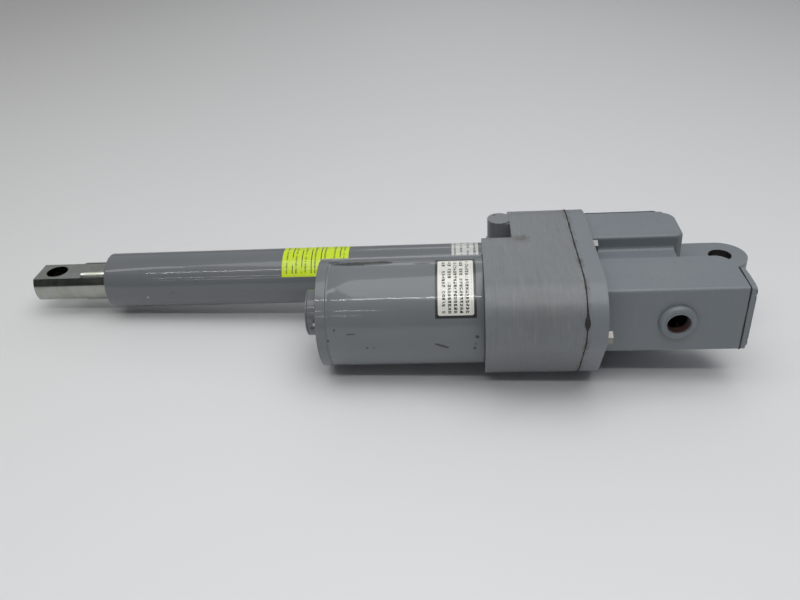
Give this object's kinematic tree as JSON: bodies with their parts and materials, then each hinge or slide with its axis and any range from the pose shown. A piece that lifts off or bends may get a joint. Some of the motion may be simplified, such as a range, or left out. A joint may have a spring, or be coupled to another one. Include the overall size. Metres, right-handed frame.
{
  "type": "linear actuator",
  "caption": "Electric linear actuator: side-mounted motor, gear case with limit-switch box, cover tube, sliding rod with a drilled eye and a rear pin lug.",
  "frame": {"origin": "centre of the rear pin hole, on the rod axis", "axes": "+X from the rod end to the rear lug, the motor towards -Y, +Z along both pin holes"},
  "size_m": [0.6485, 0.1865, 0.1005],
  "materials": {
    "cast_grey": "grey enamel over a linished casting",
    "cover_grey": "smooth grey enamel on a casting",
    "motor_grey": "glossy grey enamel on rolled steel",
    "bell_grey": "satin grey enamel",
    "tube_grey": "glossy blue-grey enamel on steel tube",
    "gasket_black": "black sealant and gasket",
    "side_dark": "dark blue-black enamel",
    "zinc_screw": "bright zinc",
    "plated_rod": "yellow-tinged zinc plate",
    "bronze": "sintered bronze",
    "label_yellow": "fluorescent yellow film",
    "label_silver": "printed foil",
    "magnet_dark": "sintered ferrite",
    "card_brown": "phenolic board",
    "brass_part": "rolled brass",
    "carbon": "pressed carbon",
    "bearing_steel": "ground bearing steel",
    "steel_bright": "ground steel",
    "steel_dark": "oiled dark steel",
    "lamination": "stacked electrical steel",
    "copper": "varnished copper",
    "gear_steel": "hobbed steel",
    "acetal": "natural acetal",
    "bracket_zinc": "zinc plated sheet",
    "switch_black": "moulded black",
    "strip_tan": "moulded tan"
  },
  "bodies": {
    "frame": {"gear_case": "cast_grey", "gear_cover": "cover_grey", "case_gasket": "gasket_black", "cover_screws": "zinc_screw", "switch_gasket": "gasket_black", "switch_cover": "cover_grey", "switch_cover_screws": "zinc_screw", "side_gasket": "gasket_black", "side_cover": "side_dark", "side_cover_screws": "zinc_screw", "cover_tube": "tube_grey", "rod_guide": "bronze", "rod_wiper": "gasket_black", "yellow_label": "label_yellow", "tube_tag": "label_silver", "motor_can": "motor_grey", "motor_end_bell": "bell_grey", "motor_bearing_cap": "bell_grey", "motor_magnets": "magnet_dark", "motor_bolts": "zinc_screw", "brush_card": "card_brown", "brush_boxes": "brass_part", "carbon_brushes": "carbon", "rating_plate": "label_silver", "motor_bearings": "bearing_steel", "idler_bushings": "bronze", "screw_front_bearing": "bearing_steel", "thrust_bearings": "bearing_steel", "bearing_retainer": "steel_bright", "retainer_screws": "steel_dark", "limit_bushings": "bronze", "limit_guide_rod": "steel_bright", "switch_bracket": "bracket_zinc", "bracket_screws": "zinc_screw", "limit_switches": "switch_black", "terminal_strip": "strip_tan", "terminal_screws": "brass_part"},
    "rotor": {"motor_shaft": "steel_bright", "armature_core": "lamination", "armature_winding": "copper", "commutator": "copper", "motor_pinion": "gear_steel"},
    "idler": {"idler_shaft": "steel_bright", "idler_gear": "gear_steel", "idler_pinion": "gear_steel"},
    "screw": {"lead_screw": "steel_bright", "screw_stop": "steel_dark", "screw_gear": "gear_steel", "screw_key": "steel_dark", "screw_locknut": "steel_dark", "thrust_races": "bearing_steel"},
    "rod": {"rod_end": "plated_rod", "rod_pin": "steel_dark", "extension_tube": "plated_rod", "drive_nut": "bronze", "nut_guide": "acetal"},
    "limit_screw_body": {"limit_screw": "steel_bright", "limit_gear": "acetal"},
    "limit_nut_body": {"limit_nut": "acetal"}
  },
  "joints": [
    {"name": "motor_spin", "type": "hinge", "parent": "frame", "child": "rotor", "pos_m": [-0.2, -0.076, 0.008], "axis": [1, 0, 0], "range_deg": [0, 109285.71]},
    {"name": "idler_spin", "type": "hinge", "parent": "frame", "child": "idler", "pos_m": [-0.16, -0.04378, -0.00435], "axis": [1, 0, 0], "range_deg": [-38590.7, 0]},
    {"name": "screw_spin", "type": "hinge", "parent": "frame", "child": "screw", "pos_m": [-0.15, 0, 0], "axis": [1, 0, 0], "range_deg": [0, 18009]},
    {"name": "rod_slide", "type": "slide", "parent": "frame", "child": "rod", "axis": [-1, 0, 0], "range_m": [0, 0.2541]},
    {"name": "limit_spin", "type": "hinge", "parent": "frame", "child": "limit_screw_body", "pos_m": [-0.1, -0.08153, 0.01407], "axis": [1, 0, 0], "range_deg": [0, 19295.4]},
    {"name": "limit_nut_slide", "type": "slide", "parent": "frame", "child": "limit_nut_body", "axis": [-1, 0, 0], "range_m": [0, 0.067]}
  ],
  "couplings": [
    {"joint": "idler_spin", "follows": "motor_spin", "ratio": -0.35294},
    {"joint": "screw_spin", "follows": "motor_spin", "ratio": 0.16471},
    {"joint": "rod_slide", "follows": "motor_spin", "m_per_rad": 0.00013317},
    {"joint": "limit_spin", "follows": "motor_spin", "ratio": 0.17647},
    {"joint": "limit_nut_slide", "follows": "motor_spin", "m_per_rad": 0.000035108}
  ]
}
